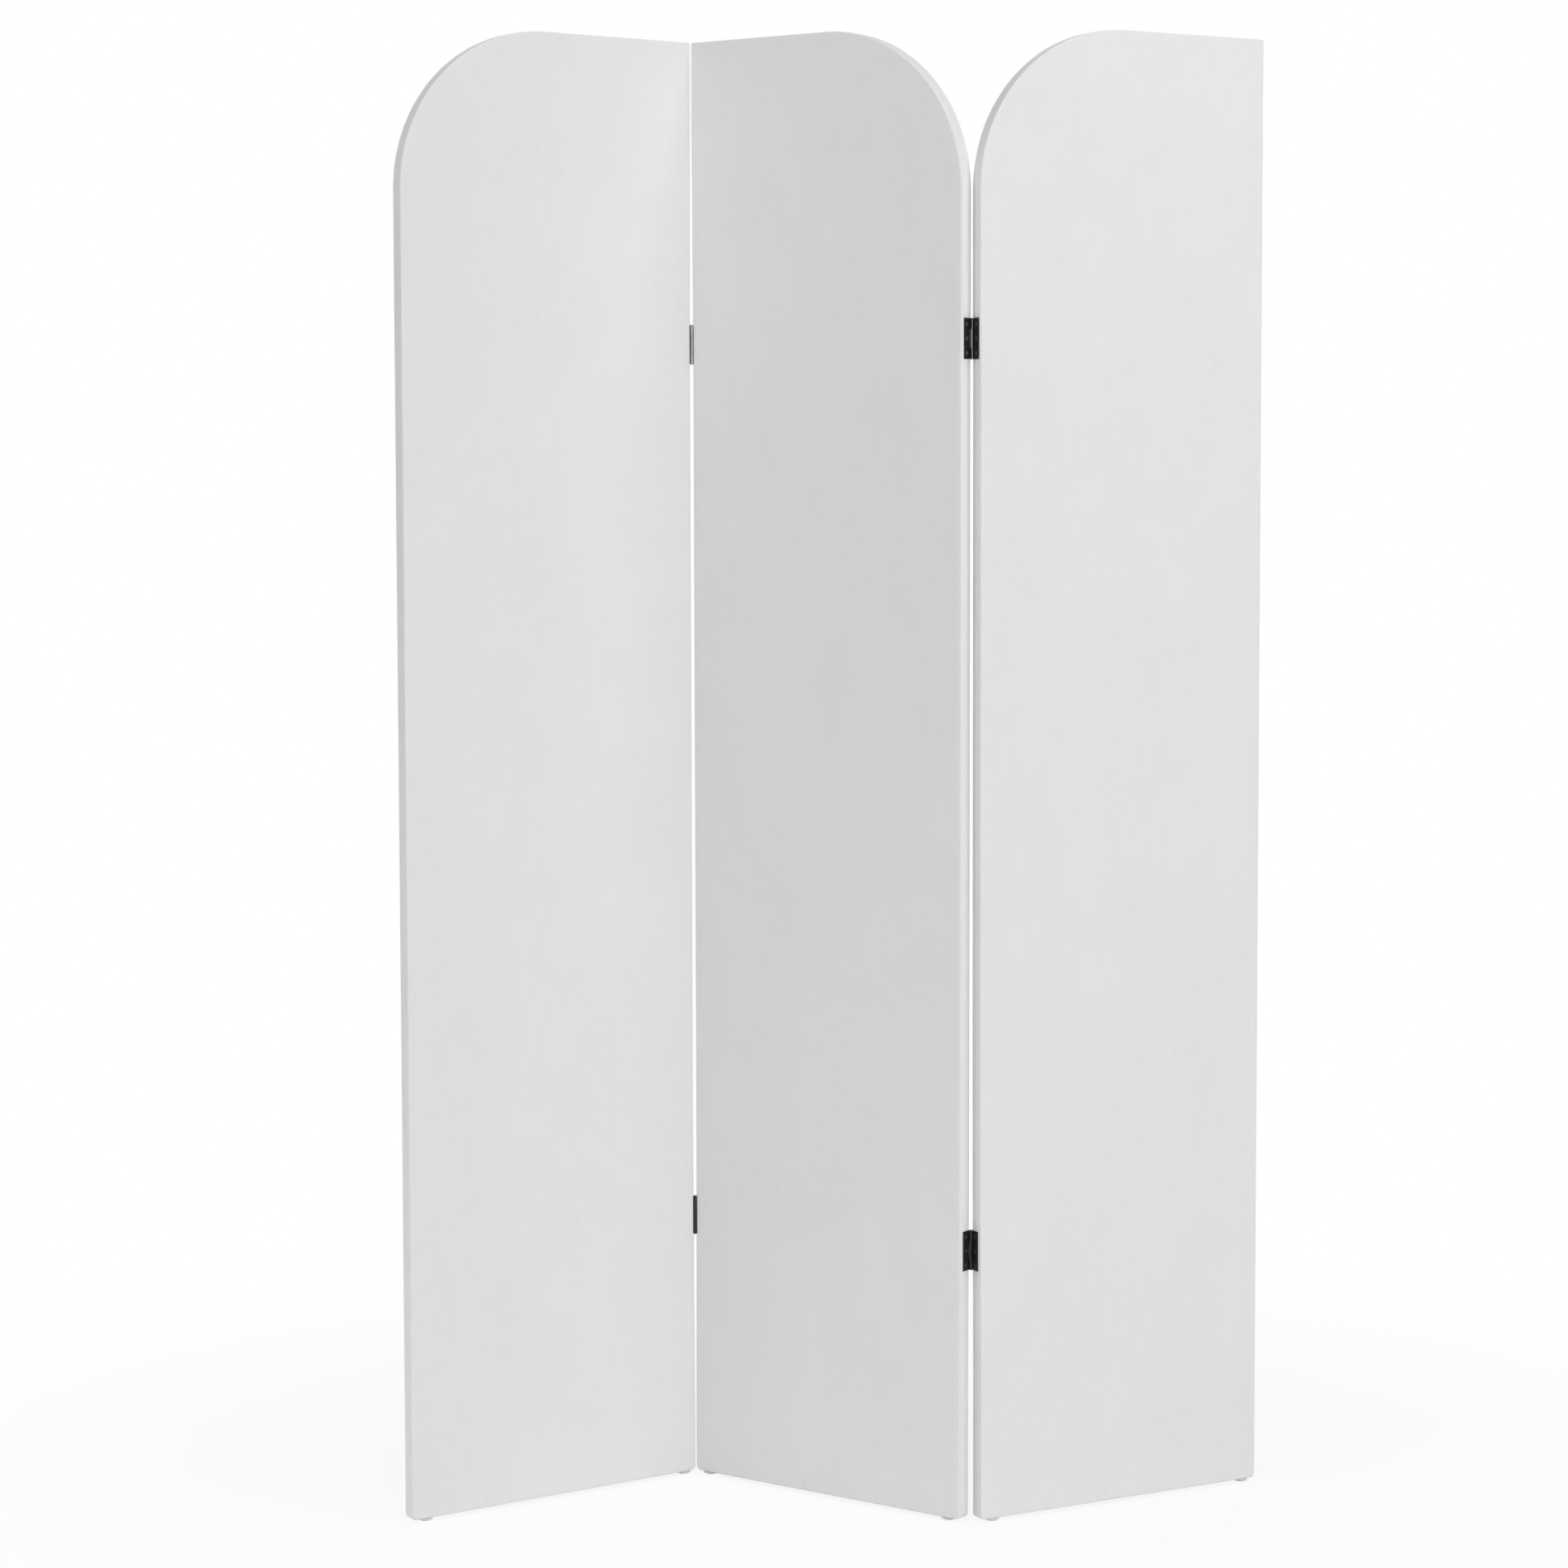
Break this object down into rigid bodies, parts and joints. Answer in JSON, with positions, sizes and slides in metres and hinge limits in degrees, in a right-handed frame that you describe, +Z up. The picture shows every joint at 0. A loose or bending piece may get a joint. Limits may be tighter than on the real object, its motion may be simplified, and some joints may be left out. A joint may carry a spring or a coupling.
{
  "type": "folding room divider",
  "caption": "Free-standing folding screen of tall upholstered panels with one rounded top corner each, joined in a zigzag by black butt hinges.",
  "frame": {"origin": "on the floor, under the middle of the screen's bounding box as it stands", "axes": "+Z up; the fronts face -Y; +X to the right as seen from the front"},
  "size_m": [1.063, 0.2478, 1.8293],
  "materials": {
    "velvet": "short-pile velvet over thin padding",
    "pine_frame": "planed softwood",
    "hardboard": "thin hardboard",
    "black_steel": "black satin",
    "grey_plastic": "smooth moulded plastic"
  },
  "bodies": {
    "left_panel": {"left_frame": "pine_frame", "left_front_board": "hardboard", "left_front_cover": "velvet", "left_back_board": "hardboard", "left_back_cover": "velvet", "left_panel_left_glide": "grey_plastic", "left_panel_right_glide": "grey_plastic", "left_fold_upper_hinge_outer_leaf": "black_steel", "left_fold_upper_hinge_outer_screw_1": "black_steel", "left_fold_upper_hinge_outer_screw_2": "black_steel", "left_fold_upper_hinge_outer_screw_3": "black_steel", "left_fold_lower_hinge_outer_leaf": "black_steel", "left_fold_lower_hinge_outer_screw_1": "black_steel", "left_fold_lower_hinge_outer_screw_2": "black_steel", "left_fold_lower_hinge_outer_screw_3": "black_steel"},
    "middle_panel": {"middle_frame": "pine_frame", "middle_front_board": "hardboard", "middle_front_cover": "velvet", "middle_back_board": "hardboard", "middle_back_cover": "velvet", "middle_panel_left_glide": "grey_plastic", "middle_panel_right_glide": "grey_plastic", "left_fold_upper_hinge_middle_leaf": "black_steel", "left_fold_upper_hinge_middle_screw_1": "black_steel", "left_fold_upper_hinge_middle_screw_2": "black_steel", "left_fold_upper_hinge_middle_screw_3": "black_steel", "left_fold_upper_hinge_pin": "black_steel", "left_fold_lower_hinge_middle_leaf": "black_steel", "left_fold_lower_hinge_middle_screw_1": "black_steel", "left_fold_lower_hinge_middle_screw_2": "black_steel", "left_fold_lower_hinge_middle_screw_3": "black_steel", "left_fold_lower_hinge_pin": "black_steel", "right_fold_upper_hinge_middle_leaf": "black_steel", "right_fold_upper_hinge_middle_screw_1": "black_steel", "right_fold_upper_hinge_middle_screw_2": "black_steel", "right_fold_upper_hinge_middle_screw_3": "black_steel", "right_fold_upper_hinge_pin": "black_steel", "right_fold_lower_hinge_middle_leaf": "black_steel", "right_fold_lower_hinge_middle_screw_1": "black_steel", "right_fold_lower_hinge_middle_screw_2": "black_steel", "right_fold_lower_hinge_middle_screw_3": "black_steel", "right_fold_lower_hinge_pin": "black_steel"},
    "right_panel": {"right_frame": "pine_frame", "right_front_board": "hardboard", "right_front_cover": "velvet", "right_back_board": "hardboard", "right_back_cover": "velvet", "right_panel_left_glide": "grey_plastic", "right_panel_right_glide": "grey_plastic", "right_fold_upper_hinge_outer_leaf": "black_steel", "right_fold_upper_hinge_outer_screw_1": "black_steel", "right_fold_upper_hinge_outer_screw_2": "black_steel", "right_fold_upper_hinge_outer_screw_3": "black_steel", "right_fold_lower_hinge_outer_leaf": "black_steel", "right_fold_lower_hinge_outer_screw_1": "black_steel", "right_fold_lower_hinge_outer_screw_2": "black_steel", "right_fold_lower_hinge_outer_screw_3": "black_steel"}
  },
  "joints": [
    {"name": "left_fold", "type": "hinge", "parent": "middle_panel", "child": "left_panel", "pos_m": [-0.186, 0.10932, 0.9168], "axis": [0, 0, 1], "range_deg": [-69.4, 110.6]},
    {"name": "right_fold", "type": "hinge", "parent": "middle_panel", "child": "right_panel", "pos_m": [0.16481, -0.1058, 0.9168], "axis": [0, 0, 1], "range_deg": [-63.3, 116.7]}
  ]
}
